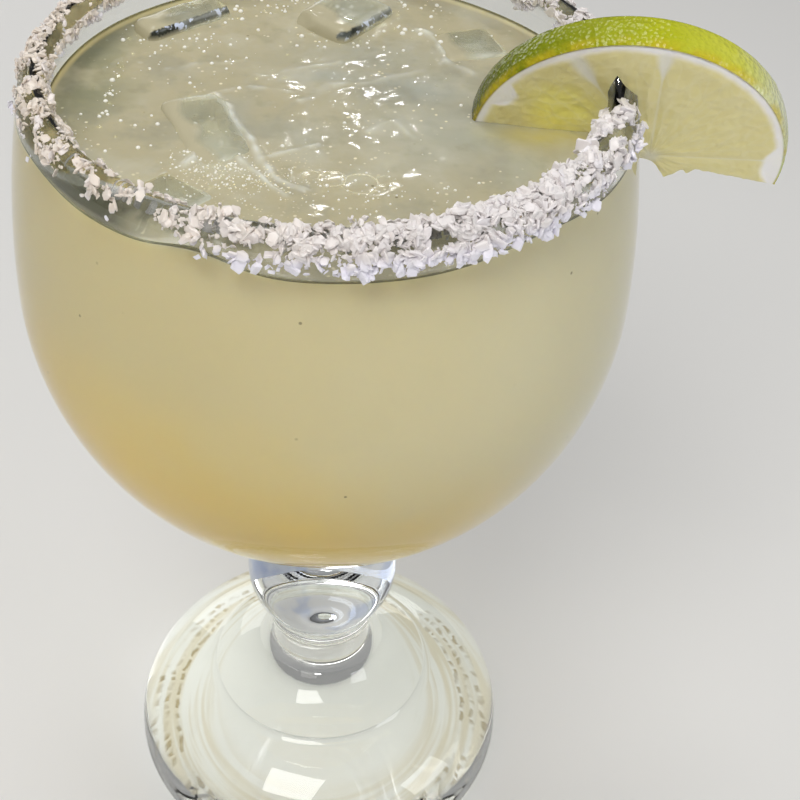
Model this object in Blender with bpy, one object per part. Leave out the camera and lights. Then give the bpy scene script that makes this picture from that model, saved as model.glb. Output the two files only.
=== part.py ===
"""A margarita in its heavy stemmed goblet, with a salted rim, floating ice and a lime slice.

Metres, +Z up. The origin is the middle of the foot's underside, on the goblet's axis.
The lime hangs on the rim at +X, and the side at -Y is the one that is usually seen.
"""
import math
import random

import bmesh
import bpy
from mathutils import Matrix, Vector

MM = 0.001

# Goblet
SEGMENTS = 48
FOOT_RADIUS = 43.8 * MM
FOOT_WIDEST_HEIGHT = 6.0 * MM
FOOT_FLAT_RADIUS = 40.5 * MM
DOME_RISE = 21.5 * MM
DOME_EXPONENT = 2.3
STEP_RADIUS = 25.6 * MM
STEP_RISE = 0.9 * MM
STEP_RUN = 0.7 * MM
NECK_RADIUS = 11.3 * MM
NECK_BASE_HEIGHT = 35.6 * MM
NECK_FLARE_OUT = 1.6 * MM
NECK_FLARE_UP = 3.2 * MM
COLLAR_RADIUS = 12.1 * MM
COLLAR_HEIGHT = 43.4 * MM
COLLAR_HALF_THICKNESS = 1.3 * MM
KNOP_RADIUS = 16.9 * MM
KNOP_HALF_HEIGHT = 17.4 * MM
KNOP_HEIGHT = 58.6 * MM
WAIST_RADIUS = 9.6 * MM
WAIST_HEIGHT = 77.6 * MM
WAIST_HOLLOW = 0.3 * MM
WAIST_FILLET = 3.0 * MM
WAIST_FLARE_OUT = 0.9 * MM
WAIST_FLARE_UP = 2.4 * MM
BOWL_RADIUS = 57.9 * MM
BOWL_WIDEST_HEIGHT = 143.0 * MM
BOWL_BOTTOM_HEIGHT = 81.4 * MM
BOWL_EXPONENT = 1.93
RIM_RADIUS = 53.0 * MM
RIM_HEIGHT = 185.1 * MM
WALL = 4.6 * MM
BOWL_FLOOR = 6.2 * MM
SHARP_EDGE = math.radians(40)

# Contents
CLEARANCE = 0.3 * MM
DRINK_LEVEL = 175.0 * MM
ICE_BEVEL = 1.8 * MM

# Salt on the rim
SALT_COUNT = 150
SALT_INNER_DROP = 2.6 * MM
SALT_OUTER_DROP = 4.2 * MM
SALT_SMALL = 1.2 * MM
SALT_LARGE = 1.8 * MM
SALT_STAND = 0.35
SALT_UNEVEN = 0.22
SALT_SEED = 12

# Lime slice
LIME_RADIUS = 28.6 * MM
LIME_THICKNESS = 6.5 * MM
LIME_CENTRE = Vector((53.3, -3.2, 170.1)) * MM
LIME_TURN = math.radians(-7.9)
LIME_LEAN = math.radians(19.4)
LIME_DROOP = math.radians(8.8)
LIME_ARC_STEPS = 30
SLIT_CLEARANCE = 0.4 * MM
SLIT_NOTCH = 4.4 * MM
SLIT_NOTCH_INWARD = 1.8 * MM
SLIT_FOOT = 158.0 * MM
SLIT_START = math.radians(-18)
SLIT_SWEEP = math.radians(26)
LIME_ANGLE = math.radians(-5.6)
LIME_SALT_GAP = math.radians(6.6)


def material(name, colour, roughness, transmission=0.0, ior=1.45):
    """A Principled material in the part's own colour."""
    made = bpy.data.materials.new(name)
    made.use_nodes = True
    shader = made.node_tree.nodes["Principled BSDF"]
    shader.inputs["Base Color"].default_value = (*colour, 1.0)
    shader.inputs["Roughness"].default_value = roughness
    shader.inputs["Metallic"].default_value = 0.0
    shader.inputs["Transmission Weight"].default_value = transmission
    shader.inputs["IOR"].default_value = ior
    made.diffuse_color = (*colour, 1.0)
    return made


def add_object(name, bm, finish=None):
    """Turn a bmesh into a named object with one material."""
    mesh = bpy.data.meshes.new(name)
    bm.to_mesh(mesh)
    bm.free()
    made = bpy.data.objects.new(name, mesh)
    bpy.context.scene.collection.objects.link(made)
    if finish is not None:
        mesh.materials.append(finish)
    return made


def as_cutter(cutter):
    """Keep a cutting shape out of the model."""
    cutter.hide_render = True
    cutter.display_type = "WIRE"
    return cutter


def cut(target, cutter):
    """Cut a shape out of the target."""
    step = target.modifiers.new("Cut", "BOOLEAN")
    step.operation = "DIFFERENCE"
    step.solver = "EXACT"
    step.object = cutter


def turned(name, outline, finish):
    """Spin an outline of (radius, height) points, which starts and ends on the axis."""
    bm = bmesh.new()
    points = [bm.verts.new((radius, 0.0, height)) for radius, height in outline]
    edges = [bm.edges.new(pair) for pair in zip(points, points[1:])]
    bmesh.ops.spin(bm, geom=points + edges, cent=(0, 0, 0), axis=(0, 0, 1), angle=math.tau,
                   steps=SEGMENTS, use_merge=True)
    bmesh.ops.remove_doubles(bm, verts=bm.verts, dist=0.001 * MM)
    bmesh.ops.recalc_face_normals(bm, faces=bm.faces)
    made = add_object(name, bm, finish)
    made.data.shade_smooth()
    made.data.set_sharp_from_angle(angle=SHARP_EDGE)
    return made


def bowl_curve(radius, floor_height, mouth_radius, top_height, steps, start_radius=0.0):
    """The bowl's side from its floor up to the mouth: a superellipse, then a gentle taper."""
    depth = BOWL_WIDEST_HEIGHT - floor_height
    power = 2.0 / BOWL_EXPONENT
    first = math.asin((start_radius / radius) ** (1 / power))
    steps_below, steps_above = steps
    curve = []
    for index in range(steps_below + 1):
        turn = first + (math.pi / 2 - first) * index / steps_below
        across = radius * max(math.sin(turn), 0.0) ** power
        below = depth * max(math.cos(turn), 0.0) ** power
        curve.append((across, BOWL_WIDEST_HEIGHT - below))
    for index in range(1, steps_above + 1):
        share = index / steps_above
        height = BOWL_WIDEST_HEIGHT + (top_height - BOWL_WIDEST_HEIGHT) * share
        curve.append((taper(radius, mouth_radius, height), height))
    return curve


def taper(radius, mouth_radius, height):
    """The bowl's radius above its widest place."""
    share = (height - BOWL_WIDEST_HEIGHT) / (RIM_HEIGHT - BOWL_WIDEST_HEIGHT)
    return radius - (radius - mouth_radius) * share ** 2


def outer_wall(height):
    return taper(BOWL_RADIUS, RIM_RADIUS, height)


def inner_wall(height):
    return taper(BOWL_RADIUS - WALL, RIM_RADIUS - WALL, height)


def foot_outline():
    """The flat underside, the rounded edge and the stepped dome, out and then in."""
    edge = FOOT_RADIUS - FOOT_FLAT_RADIUS
    outline = [(0.0, 0.0)]
    for index in range(4):
        turn = math.pi / 2 * index / 4
        outline.append((FOOT_FLAT_RADIUS + edge * math.sin(turn),
                        FOOT_WIDEST_HEIGHT * (1 - math.cos(turn))))
    for index in range(8):
        turn = math.pi / 2 * index / 7
        radius = FOOT_RADIUS - (FOOT_RADIUS - STEP_RADIUS) * (1 - math.cos(turn))
        share = (radius / FOOT_RADIUS) ** DOME_EXPONENT
        rise = DOME_RISE * max(1 - share, 0.0) ** (1 / DOME_EXPONENT)
        outline.append((radius, FOOT_WIDEST_HEIGHT + rise))
    step_foot = outline[-1][1]
    step_top = Vector((STEP_RADIUS - STEP_RUN, step_foot + STEP_RISE))
    corner = Vector((NECK_RADIUS + NECK_FLARE_OUT, step_foot + NECK_FLARE_UP))
    neck_base = Vector((NECK_RADIUS, NECK_BASE_HEIGHT))
    for index in range(7):
        share = index / 6
        point = (step_top * (1 - share) ** 2 + corner * 2 * share * (1 - share)
                 + neck_base * share ** 2)
        outline.append((point.x, point.y))
    return outline


def stem_outline():
    """The collar on the neck, the ball knop and the waist under the bowl."""
    outline = []
    for index in range(-2, 3):
        turn = math.pi / 2 * index / 2
        outline.append((NECK_RADIUS + (COLLAR_RADIUS - NECK_RADIUS) * math.cos(turn),
                        COLLAR_HEIGHT + COLLAR_HALF_THICKNESS * math.sin(turn)))
    low = -math.acos(NECK_RADIUS / KNOP_RADIUS)
    high = math.acos(WAIST_RADIUS / KNOP_RADIUS)
    for index in range(9):
        turn = low + (high - low) * index / 8
        outline.append((KNOP_RADIUS * math.cos(turn),
                        KNOP_HEIGHT + KNOP_HALF_HEIGHT * math.sin(turn)))
    outline.append((WAIST_RADIUS - WAIST_HOLLOW, (outline[-1][1] + WAIST_HEIGHT) / 2))
    outline.append((WAIST_RADIUS, WAIST_HEIGHT))
    outline.append((WAIST_RADIUS + WAIST_FLARE_OUT, WAIST_HEIGHT + WAIST_FLARE_UP))
    return outline


def lip_point(distance):
    """A point on the rim and its normal, by the distance along it from the outside inwards."""
    half_wall = WALL / 2
    middle = RIM_RADIUS - half_wall
    base = RIM_HEIGHT - half_wall
    arc = math.pi * half_wall
    if distance < 0:
        height = base + distance
        return Vector((outer_wall(height), 0, height)), Vector((1, 0, 0))
    if distance > arc:
        height = base - (distance - arc)
        return Vector((inner_wall(height), 0, height)), Vector((-1, 0, 0))
    turn = distance / half_wall
    normal = Vector((math.cos(turn), 0, math.sin(turn)))
    return Vector((middle, 0, base)) + normal * half_wall, normal


def goblet_outline():
    """The whole section of the goblet, from the underside over the rim to the bowl's floor."""
    lip_base = RIM_HEIGHT - WALL / 2
    outside = bowl_curve(BOWL_RADIUS, BOWL_BOTTOM_HEIGHT, RIM_RADIUS, lip_base, (9, 4),
                         WAIST_RADIUS + WAIST_FILLET)
    lip = []
    for index in range(1, 6):
        place, _ = lip_point(math.pi * WALL / 2 * index / 6)
        lip.append((place.x, place.z))
    inside = bowl_curve(BOWL_RADIUS - WALL, BOWL_BOTTOM_HEIGHT + BOWL_FLOOR,
                        RIM_RADIUS - WALL, lip_base, (8, 4))
    return foot_outline() + stem_outline() + outside + lip + inside[::-1]


def salt_flake(rng, centre, size):
    """One blocky crystal: a small cube with uneven sides and corners."""
    bm = bmesh.new()
    bmesh.ops.create_cube(bm, size=2.0)
    for vert in bm.verts:
        vert.co += Vector([rng.uniform(-SALT_UNEVEN, SALT_UNEVEN) for _ in range(3)])
    sides = [size * rng.uniform(0.65, 1.0) for _ in range(3)]
    turn = Matrix.Rotation(rng.uniform(0, math.tau), 4, "Z")
    tip = Matrix.Rotation(rng.uniform(0, math.pi), 4, "X")
    scale = Matrix.Diagonal((*sides, 1.0))
    bm.transform(Matrix.Translation(centre) @ turn @ tip @ scale)
    bmesh.ops.triangulate(bm, faces=bm.faces)
    return add_object("salt_flake", bm)


def keep_largest(bm):
    """Drop scraps and sealed hollows that the union of the flakes left."""
    left = set(bm.verts)
    groups = []
    while left:
        front = [left.pop()]
        group = set(front)
        while front:
            for edge in front.pop().link_edges:
                for vert in edge.verts:
                    if vert not in group:
                        group.add(vert)
                        front.append(vert)
        left -= group
        groups.append(group)
    largest = max(groups, key=len)
    extra = [vert for group in groups if group is not largest for vert in group]
    bmesh.ops.delete(bm, geom=extra, context="VERTS")


def salt_rim(glass):
    """Fuse the salt to the rim, all round but for the place where the lime sits."""
    rng = random.Random(SALT_SEED)
    flakes = bpy.data.collections.new("salt")
    bpy.context.scene.collection.children.link(flakes)
    arc = math.pi * WALL / 2
    # Shares of the way along the lip, outer wall to inner wall, taken in turn
    bands = (0.30, 0.62, 0.12, 0.80, 0.46, 0.95, 0.22, 0.70)
    for index in range(SALT_COUNT):
        angle = math.tau * (index + rng.uniform(-0.3, 0.3)) / SALT_COUNT
        share = min(max(bands[index % len(bands)] + rng.uniform(-0.09, 0.09), 0.0), 1.0)
        along = -SALT_OUTER_DROP + share * (SALT_OUTER_DROP + arc + SALT_INNER_DROP)
        size = rng.uniform(SALT_SMALL, SALT_LARGE)
        away = (angle - LIME_ANGLE + math.pi) % math.tau - math.pi
        if abs(away) < LIME_SALT_GAP:
            continue
        place, normal = lip_point(along)
        centre = Matrix.Rotation(angle, 3, "Z") @ (place + normal * size * SALT_STAND)
        flake = salt_flake(rng, centre, size)
        bpy.context.scene.collection.objects.unlink(flake)
        flakes.objects.link(flake)
    union = glass.modifiers.new("Salt", "BOOLEAN")
    union.operation = "UNION"
    union.operand_type = "COLLECTION"
    union.collection = flakes
    union.solver = "MANIFOLD"
    evaluated = glass.evaluated_get(bpy.context.evaluated_depsgraph_get())
    bm = bmesh.new()
    bm.from_mesh(evaluated.to_mesh())
    evaluated.to_mesh_clear()
    keep_largest(bm)
    glass.modifiers.clear()
    bm.to_mesh(glass.data)
    bm.free()
    for flake in list(flakes.objects):
        bpy.data.objects.remove(flake, do_unlink=True)
    bpy.data.collections.remove(flakes)


def drink_outline():
    """The liquid's section: just inside the bowl, up to its level."""
    side = bowl_curve(BOWL_RADIUS - WALL - CLEARANCE, BOWL_BOTTOM_HEIGHT + BOWL_FLOOR + CLEARANCE,
                      RIM_RADIUS - WALL - CLEARANCE, DRINK_LEVEL, (8, 4))
    return side + [(0.0, DRINK_LEVEL)]


def ice_block(name, centre, size, turn, lean, finish=None, grow=0.0):
    """A bar ice cube with worn edges; grow makes the hollow that it floats in."""
    bm = bmesh.new()
    bmesh.ops.create_cube(bm, size=1.0)
    bmesh.ops.scale(bm, vec=[side + 2 * grow for side in size], verts=bm.verts)
    bmesh.ops.bevel(bm, geom=bm.edges[:], offset=ICE_BEVEL, segments=1, affect="EDGES")
    rotation = Matrix.Rotation(turn, 4, "Z") @ Matrix.Rotation(lean, 4, "X")
    bm.transform(Matrix.Translation(centre) @ rotation)
    return add_object(name, bm, finish)


def lime_frame():
    """The slice's own axes: X along the cut edge, Y through it, Z up the slice."""
    rotation = (Matrix.Rotation(LIME_TURN, 4, "Z") @ Matrix.Rotation(LIME_LEAN, 4, "X")
                @ Matrix.Rotation(LIME_DROOP, 4, "Y"))
    return Matrix.Translation(LIME_CENTRE) @ rotation


def half_wheel(name, grow=0.0, finish=None):
    """Half a round slice: an arc over its straight cut edge, given its thickness."""
    bm = bmesh.new()
    radius = LIME_RADIUS + grow
    rim = []
    for index in range(LIME_ARC_STEPS + 1):
        turn = math.pi * index / LIME_ARC_STEPS
        rim.append((radius * math.cos(turn), radius * math.sin(turn)))
    if grow:
        rim += [(-radius, -grow), (radius, -grow)]
    face = bm.faces.new([bm.verts.new((x, -grow, z)) for x, z in rim])
    sweep = bmesh.ops.extrude_face_region(bm, geom=[face])
    moved = [item for item in sweep["geom"] if isinstance(item, bmesh.types.BMVert)]
    bmesh.ops.translate(bm, vec=(0, LIME_THICKNESS + 2 * grow, 0), verts=moved)
    bmesh.ops.recalc_face_normals(bm, faces=bm.faces)
    bm.transform(lime_frame())
    made = add_object(name, bm, finish)
    made.data.shade_smooth()
    made.data.set_sharp_from_angle(angle=SHARP_EDGE)
    return made


def slit_cutter():
    """The slot that the rim fills: the wall's own section, a little wider, with a notch over it."""
    heights = [SLIT_FOOT + (RIM_HEIGHT - SLIT_FOOT) * index / 5 for index in range(6)]
    outside = [(outer_wall(height) + SLIT_CLEARANCE, height) for height in heights]
    inside = [(inner_wall(height) - SLIT_CLEARANCE, height) for height in heights]
    top = RIM_HEIGHT + SLIT_CLEARANCE
    apex = (RIM_RADIUS - WALL / 2 - SLIT_NOTCH_INWARD, top + SLIT_NOTCH)
    crown = [(outside[-1][0], top), apex, (inside[-1][0], top)]
    bm = bmesh.new()
    outline = outside + crown + inside[::-1]
    face = bm.faces.new([bm.verts.new((radius, 0, height)) for radius, height in outline])
    start = Matrix.Rotation(SLIT_START, 3, "Z")
    bmesh.ops.rotate(bm, verts=bm.verts, cent=(0, 0, 0), matrix=start)
    bmesh.ops.spin(bm, geom=[face], cent=(0, 0, 0), axis=(0, 0, 1), angle=SLIT_SWEEP, steps=6)
    bmesh.ops.remove_doubles(bm, verts=bm.verts, dist=0.001 * MM)
    bmesh.ops.recalc_face_normals(bm, faces=bm.faces)
    return as_cutter(add_object("slit_cutter", bm))


# Name, centre, sides, turn and lean of each cube that breaks the drink's surface
ICE = (
    ("ice_1", Vector((-21.0, -6.5, 167.2)) * MM, (12 * MM, 24 * MM, 17 * MM), 0.38, 0.05),
    ("ice_2", Vector((-27.0, -28.0, 169.2)) * MM, (14 * MM, 14 * MM, 12 * MM), 0.78, -0.06),
    ("ice_3", Vector((-28.4, 33.6, 171.2)) * MM, (21 * MM, 7 * MM, 13 * MM), 0.71, 0.04),
    ("ice_4", Vector((2.5, 36.5, 170.6)) * MM, (17 * MM, 13 * MM, 14 * MM), 0.91, 0.04),
    ("ice_5", Vector((26.5, 27.5, 169.4)) * MM, (14 * MM, 14 * MM, 12 * MM), 0.30, -0.07),
)


def build():
    for old in list(bpy.data.objects):
        bpy.data.objects.remove(old, do_unlink=True)

    glass_finish = material("clear_glass", (0.93, 0.96, 0.93), 0.02, 1.0, 1.52)
    drink_finish = material("margarita", (0.62, 0.56, 0.30), 0.12, 0.2, 1.34)
    ice_finish = material("ice", (0.86, 0.90, 0.90), 0.06, 0.9, 1.31)
    lime_finish = material("lime", (0.62, 0.66, 0.16), 0.35)

    glass = turned("glass", goblet_outline(), glass_finish)
    salt_rim(glass)

    drink = turned("drink", drink_outline(), drink_finish)
    for name, centre, size, turn, lean in ICE:
        ice_block(name, centre, size, turn, lean, ice_finish)
        hollow = ice_block(name + "_cutter", centre, size, turn, lean, grow=CLEARANCE)
        cut(drink, as_cutter(hollow))

    lime = half_wheel("lime_slice", finish=lime_finish)
    cut(lime, slit_cutter())
    cut(drink, as_cutter(half_wheel("lime_cutter", grow=CLEARANCE)))


build()
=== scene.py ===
"""The looks of a margarita in its heavy stemmed goblet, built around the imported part."""

import math
import random

import bpy
import numpy as np
from mathutils import Euler, Matrix, Vector, noise


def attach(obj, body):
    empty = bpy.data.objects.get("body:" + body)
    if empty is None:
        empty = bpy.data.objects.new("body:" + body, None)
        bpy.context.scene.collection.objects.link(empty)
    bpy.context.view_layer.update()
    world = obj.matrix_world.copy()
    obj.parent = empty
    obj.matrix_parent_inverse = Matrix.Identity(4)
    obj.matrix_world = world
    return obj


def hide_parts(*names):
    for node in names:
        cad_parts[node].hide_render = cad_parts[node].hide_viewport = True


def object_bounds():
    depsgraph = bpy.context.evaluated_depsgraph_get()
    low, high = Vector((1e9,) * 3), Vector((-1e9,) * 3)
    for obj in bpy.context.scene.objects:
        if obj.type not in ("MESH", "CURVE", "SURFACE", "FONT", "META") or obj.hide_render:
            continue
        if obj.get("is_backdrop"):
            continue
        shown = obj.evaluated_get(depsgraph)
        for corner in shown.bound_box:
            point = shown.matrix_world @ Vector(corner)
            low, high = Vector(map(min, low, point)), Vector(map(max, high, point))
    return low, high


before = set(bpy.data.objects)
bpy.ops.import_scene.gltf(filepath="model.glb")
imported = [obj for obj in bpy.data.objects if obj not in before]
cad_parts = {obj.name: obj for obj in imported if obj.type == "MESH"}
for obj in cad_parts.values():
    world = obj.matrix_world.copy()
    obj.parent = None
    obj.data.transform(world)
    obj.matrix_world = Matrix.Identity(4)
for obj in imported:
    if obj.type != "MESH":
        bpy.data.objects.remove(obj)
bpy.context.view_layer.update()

# The goblet is one piece of heavy soda-lime glass, pressed and then fire-polished. It has a
# domed foot with a stippled underside, a collar and a ball in its stem, and a thick round bowl.
MM = 0.001
SPIN_STEPS = 160
FOOT_RADIUS, FOOT_WIDEST, FOOT_FLAT = 43.8 * MM, 6.0 * MM, 40.5 * MM
DOME_RISE, DOME_EXPONENT = 21.5 * MM, 2.3
STEP_RADIUS, STEP_RISE, STEP_RUN = 25.6 * MM, 0.9 * MM, 0.7 * MM
NECK_RADIUS, NECK_BASE = 11.3 * MM, 35.6 * MM
NECK_FLARE_OUT, NECK_FLARE_UP = 1.6 * MM, 3.2 * MM
COLLAR_RADIUS, COLLAR_HEIGHT, COLLAR_HALF = 12.1 * MM, 43.4 * MM, 1.3 * MM
KNOP_RADIUS, KNOP_HALF, KNOP_HEIGHT = 16.9 * MM, 17.4 * MM, 58.6 * MM
WAIST_RADIUS, WAIST_HEIGHT, WAIST_HOLLOW = 9.6 * MM, 77.6 * MM, 0.3 * MM
WAIST_FILLET, WAIST_FLARE_OUT, WAIST_FLARE_UP = 3.0 * MM, 0.9 * MM, 2.4 * MM
BOWL_RADIUS, BOWL_WIDEST, BOWL_BOTTOM, BOWL_EXPONENT = 57.9 * MM, 143.0 * MM, 81.4 * MM, 1.93
RIM_RADIUS, RIM_HEIGHT, WALL, BOWL_FLOOR = 53.0 * MM, 185.1 * MM, 4.6 * MM, 6.2 * MM
STIPPLE_BANDS = ((30.6 * MM, 32.8 * MM), (37.0 * MM, 39.4 * MM))
STIPPLE_DEPTH, STIPPLE_PITCH, UNDERSIDE_HOLLOW = 0.16 * MM, 0.9 * MM, 0.5 * MM
# Rings of painted gold glints under the foot, where its stippling catches the light: how far out,
# and how many go round.
GLINT_DASH_RINGS = ((30.6 * MM, 58), (32.4 * MM, 96), (34.0 * MM, 70), (38.2 * MM, 76),
              (39.9 * MM, 66))
BALL_FROM, BALL_TO = 43.0 * MM, 76.0 * MM


class Wire:
    """What one shader node passes on. Arithmetic on it adds Math nodes."""

    def __init__(self, tree, socket=None):
        self.tree, self.socket = tree, socket

    def node(self, kind, settings=None, sockets=None, output=0):
        """Add a node, set it up, feed its sockets and return one of its outputs."""
        made = self.tree.nodes.new("ShaderNode" + kind)
        for name, value in (settings or {}).items():
            if name == "stops":
                first, *middle, last = value
                made.color_ramp.elements[0].position, made.color_ramp.elements[0].color = first
                made.color_ramp.elements[1].position, made.color_ramp.elements[1].color = last
                for place, colour in middle:
                    made.color_ramp.elements.new(place).color = colour
            else:
                setattr(made, name, value)
        for name, value in (sockets or {}).items():
            if isinstance(value, Wire):
                self.tree.links.new(value.socket, made.inputs[name])
            else:
                made.inputs[name].default_value = value
        return Wire(self.tree, made.outputs[output])

    def math(self, operation, *others):
        return self.node("Math", {"operation": operation}, dict(enumerate((self, *others))))

    def __add__(self, other):
        return self.math("ADD", other)

    def __sub__(self, other):
        return self.math("SUBTRACT", other)

    def __rsub__(self, other):
        return self.node("Math", {"operation": "SUBTRACT"}, {0: other, 1: self})

    def __mul__(self, other):
        return self.math("MULTIPLY", other)

    def __truediv__(self, other):
        return self.math("DIVIDE", other)

    __radd__ = __add__
    __rmul__ = __mul__

    def rise(self, low, high):
        """0 up to low, 1 from high on, smooth between them."""
        return self.node("MapRange", {"interpolation_type": "SMOOTHSTEP"},
                         {"Value": self, "From Min": low, "From Max": high})

    def tint(self, under, over):
        """One colour under another, with this value as the share of the upper one."""
        return self.node("Mix", {"data_type": "RGBA"}, {0: self, 6: under, 7: over}, 2)

    def parts(self):
        return [self.node("SeparateXYZ", None, {0: self}, index) for index in range(3)]

    def noise(self, scale, detail=2.0, output=0):
        return self.node("TexNoise", None, {"Vector": self, "Scale": scale, "Detail": detail},
                         output)

    def stored(self, name):
        """A value that the mesh stores on its points."""
        return self.node("Attribute", {"attribute_name": name}, None, 2)

    def bump(self, height, strength, distance):
        return self.node("Bump", None, {"Height": height, "Strength": strength,
                                        "Distance": distance})


def length(one, other):
    """The length of a flat vector, from the two wires of its parts."""
    return (one * one + other * other).math("SQRT")


def finish(name):
    """Start a material: it returns the material, its Object coordinates and its output."""
    made = bpy.data.materials.new(name)
    made.use_nodes = True
    made.node_tree.nodes.clear()
    output = made.node_tree.nodes.new("ShaderNodeOutputMaterial")
    place = Wire(made.node_tree).node("TexCoord", None, None, 3)
    return made, place, output.inputs["Surface"]


def show(shader, surface):
    shader.tree.links.new(shader.socket, surface)


def let_lamps_through(shader, surface, colour):
    """Glass that lets lamps shine through, where it would throw a black shadow."""
    shadow = shader.node("LightPath", None, None, 1)
    clear = shader.node("BsdfTransparent", None, {"Color": colour})
    show(shader.node("MixShader", None, {0: shadow, 1: shader, 2: clear}), surface)


def only(piece):
    """Leave this object alone selected and active."""
    bpy.ops.object.select_all(action="DESELECT")
    piece.select_set(True)
    bpy.context.view_layer.objects.active = piece


def edit(piece, *steps):
    """Run edit-mode operators, each on the whole piece."""
    only(piece)
    bpy.ops.object.mode_set(mode="EDIT")
    for operator, settings in steps:
        bpy.ops.mesh.select_all(action="SELECT")
        operator(**settings)
    bpy.ops.object.mode_set(mode="OBJECT")


def mesh_piece(name, points, edges=(), faces=()):
    mesh = bpy.data.meshes.new(name)
    mesh.from_pydata([tuple(point) for point in points], list(edges), list(faces))
    piece = bpy.data.objects.new(name, mesh)
    bpy.context.scene.collection.objects.link(piece)
    return piece


def spun(name, outline, steps):
    """Spin a section of (radius, height) points, whose ends lie on the axis."""
    links = [(index, index + 1) for index in range(len(outline) - 1)]
    piece = mesh_piece(name, [(radius, 0, height) for radius, height in outline], links)
    edit(piece,
         (bpy.ops.mesh.spin, dict(steps=steps, angle=math.tau, center=(0, 0, 0),
                                  axis=(0, 0, 1))),
         (bpy.ops.mesh.remove_doubles, dict(threshold=0.002 * MM)),
         (bpy.ops.mesh.normals_make_consistent, dict(inside=False)))
    return piece


def points_of(piece):
    flat = np.empty(len(piece.data.vertices) * 3, np.float32)
    piece.data.vertices.foreach_get("co", flat)
    return flat.reshape(-1, 3).astype(float)


def set_points(piece, points):
    piece.data.vertices.foreach_set("co", points.astype(np.float32).ravel())
    piece.data.update()


def store(piece, name, values):
    """Keep a value on every point, for the piece's material to read."""
    kept = piece.data.attributes.new(name, "FLOAT", "POINT")
    kept.data.foreach_set("value", values.astype(np.float32))


def ellipse(centre, radii, start, end, steps):
    """Points of an arc round (radius, height), from one angle in degrees to another."""
    turns = np.radians(np.linspace(start, end, steps))
    return [(centre[0] + radii[0] * math.cos(turn), centre[1] + radii[1] * math.sin(turn))
            for turn in turns]


def taper(radius, mouth, height):
    """The bowl's radius above its widest place."""
    share = (height - BOWL_WIDEST) / (RIM_HEIGHT - BOWL_WIDEST)
    return radius - (radius - mouth) * share ** 2


def bowl_side(radius, floor, mouth, top, start_radius=0.0):
    """The bowl's side from its floor up: a superellipse, then a gentle taper."""
    power = 2.0 / BOWL_EXPONENT
    first = math.asin((start_radius / radius) ** (1 / power))
    side = []
    for turn in np.linspace(first, math.pi / 2, 44):
        side.append((radius * max(math.sin(turn), 0.0) ** power,
                     BOWL_WIDEST - (BOWL_WIDEST - floor) * max(math.cos(turn), 0.0) ** power))
    for height in np.linspace(BOWL_WIDEST, top, 20)[1:]:
        side.append((taper(radius, mouth, height), height))
    return side


def inner_wall(height):
    return taper(BOWL_RADIUS - WALL, RIM_RADIUS - WALL, height)


def outer_wall(height):
    return taper(BOWL_RADIUS, RIM_RADIUS, height)


underside = [(radius * MM, UNDERSIDE_HOLLOW * (1 - (radius * MM / FOOT_FLAT) ** 2))
             for radius in (0.0, 6.0, 12.0, 18.0, 24.0, *np.arange(29.0, 40.4, STIPPLE_PITCH / MM))]
foot_edge = ellipse((FOOT_FLAT, FOOT_WIDEST), (FOOT_RADIUS - FOOT_FLAT, FOOT_WIDEST), -90, 0, 9)
dome = []
for turn in np.linspace(0.0, math.pi / 2, 22)[1:]:
    radius = FOOT_RADIUS - (FOOT_RADIUS - STEP_RADIUS) * (1 - math.cos(turn))
    share = (radius / FOOT_RADIUS) ** DOME_EXPONENT
    dome.append((radius, FOOT_WIDEST + DOME_RISE * max(1 - share, 0.0) ** (1 / DOME_EXPONENT)))
step_foot = dome[-1][1]
step_top = Vector((STEP_RADIUS - STEP_RUN, step_foot + STEP_RISE))
neck_corner = Vector((NECK_RADIUS + NECK_FLARE_OUT, step_foot + NECK_FLARE_UP))
neck = []
for share in np.linspace(0.0, 1.0, 15):
    point = (step_top * (1 - share) ** 2 + neck_corner * 2 * share * (1 - share)
             + Vector((NECK_RADIUS, NECK_BASE)) * share ** 2)
    neck.append((point.x, point.y))
collar = ellipse((NECK_RADIUS, COLLAR_HEIGHT), (COLLAR_RADIUS - NECK_RADIUS, COLLAR_HALF),
                 -90, 90, 9)
knop = ellipse((0.0, KNOP_HEIGHT), (KNOP_RADIUS, KNOP_HALF),
               -math.degrees(math.acos(NECK_RADIUS / KNOP_RADIUS)),
               math.degrees(math.acos(WAIST_RADIUS / KNOP_RADIUS)), 30)
waist = [(WAIST_RADIUS - WAIST_HOLLOW, (knop[-1][1] + WAIST_HEIGHT) / 2),
         (WAIST_RADIUS, WAIST_HEIGHT),
         (WAIST_RADIUS + WAIST_FLARE_OUT, WAIST_HEIGHT + WAIST_FLARE_UP)]
lip_base = RIM_HEIGHT - WALL / 2
bowl_outside = bowl_side(BOWL_RADIUS, BOWL_BOTTOM, RIM_RADIUS, lip_base,
                         WAIST_RADIUS + WAIST_FILLET)
lip = ellipse((RIM_RADIUS - WALL / 2, lip_base), (WALL / 2, WALL / 2), 0, 180, 13)[1:-1]
bowl_inside = bowl_side(BOWL_RADIUS - WALL, BOWL_BOTTOM + BOWL_FLOOR, RIM_RADIUS - WALL, lip_base)
goblet = spun("goblet", underside + foot_edge + dome + neck + collar + knop + waist
              + bowl_outside + lip + bowl_inside[::-1], SPIN_STEPS)

points = points_of(goblet)
across = np.hypot(points[:, 0], points[:, 1])
step = np.rint(np.arctan2(points[:, 1], points[:, 0]) / (math.tau / SPIN_STEPS)).astype(int)
ring = np.rint(across / STIPPLE_PITCH).astype(int)
for inner, outer in STIPPLE_BANDS:
    dimple = (points[:, 2] < UNDERSIDE_HOLLOW) & (across > inner) & (across < outer)
    points[dimple & ((step + ring) % 2 == 0), 2] += STIPPLE_DEPTH
set_points(goblet, points)
only(goblet)
bpy.ops.object.shade_smooth_by_angle(angle=math.radians(38))

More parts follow.
